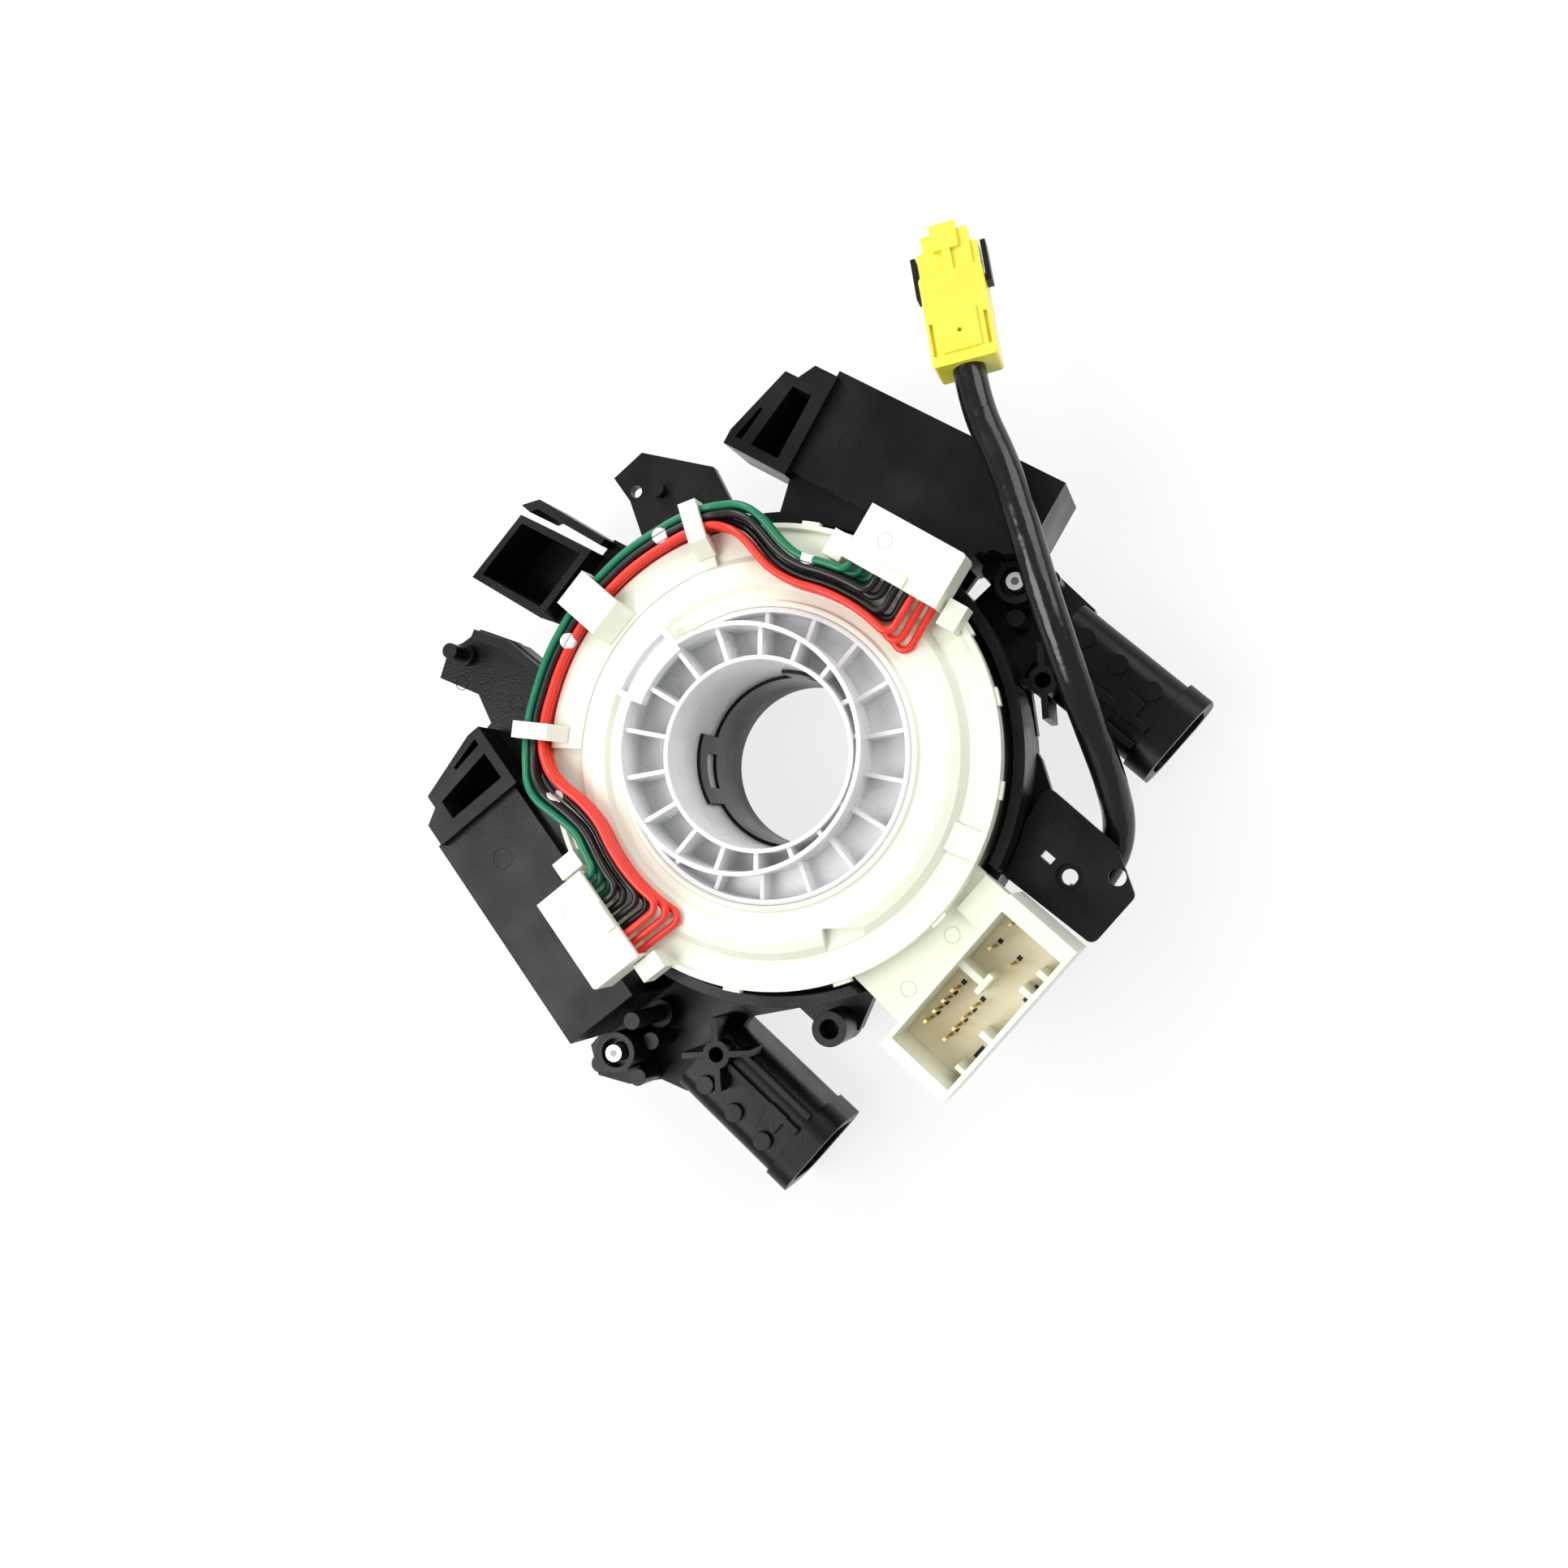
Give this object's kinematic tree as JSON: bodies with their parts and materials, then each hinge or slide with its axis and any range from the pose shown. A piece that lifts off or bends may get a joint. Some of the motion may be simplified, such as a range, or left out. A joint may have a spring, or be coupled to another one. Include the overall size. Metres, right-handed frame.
{
  "type": "steering clock spring",
  "caption": "Steering column clock spring carrier: ribbed rotor hub in a round cassette, stalk slots with moulded brackets, a clipped harness and an airbag lead.",
  "frame": {"origin": "on the steering axis, in the plane of the wheel-side rim of the rotor", "axes": "+Z runs along the steering axis from the wheel side to the column side; +Y points to the rectangular holder between the stalk slots"},
  "size_m": [0.1821, 0.1486, 0.0456],
  "materials": {
    "body_black": "satin, glass filled",
    "rotor_black": "satin",
    "cassette_cream": "semi matte",
    "hub_milky": "translucent",
    "pin_gold": "plated",
    "wire_green": "insulation",
    "wire_black": "insulation",
    "wire_red": "insulation",
    "screw_steel": "zinc plated",
    "ribbon_film": "film",
    "sleeve_black": "glossy flexible sleeve",
    "connector_yellow": "moulded"
  },
  "bodies": {
    "body": {"switch_body": "body_black", "column_bracket": "body_black", "cassette_base": "cassette_cream", "cassette_cover": "cassette_cream", "vehicle_pins": "pin_gold", "harness_plug_right": "cassette_cream", "harness_plug_left": "cassette_cream", "wire_green_1": "wire_green", "wire_green_2": "wire_green", "wire_green_3": "wire_green", "wire_black_1": "wire_black", "wire_black_2": "wire_black", "wire_black_3": "wire_black", "wire_black_4": "wire_black", "wire_red_1": "wire_red", "wire_red_2": "wire_red", "wire_red_3": "wire_red", "captive_screws": "screw_steel", "flat_cable": "ribbon_film", "lead_gland": "sleeve_black", "lead_sleeve": "sleeve_black", "lead_connector": "connector_yellow", "lead_lock": "body_black"},
    "rotor": {"hub": "hub_milky", "wheel_flange": "rotor_black", "wheel_socket": "rotor_black", "wheel_pins": "pin_gold"}
  },
  "joints": [
    {"name": "rotor_spin", "type": "hinge", "parent": "body", "child": "rotor", "pos_m": [0, 0, 0.02], "axis": [0, 0, 1], "range_deg": [-900, 900]}
  ]
}
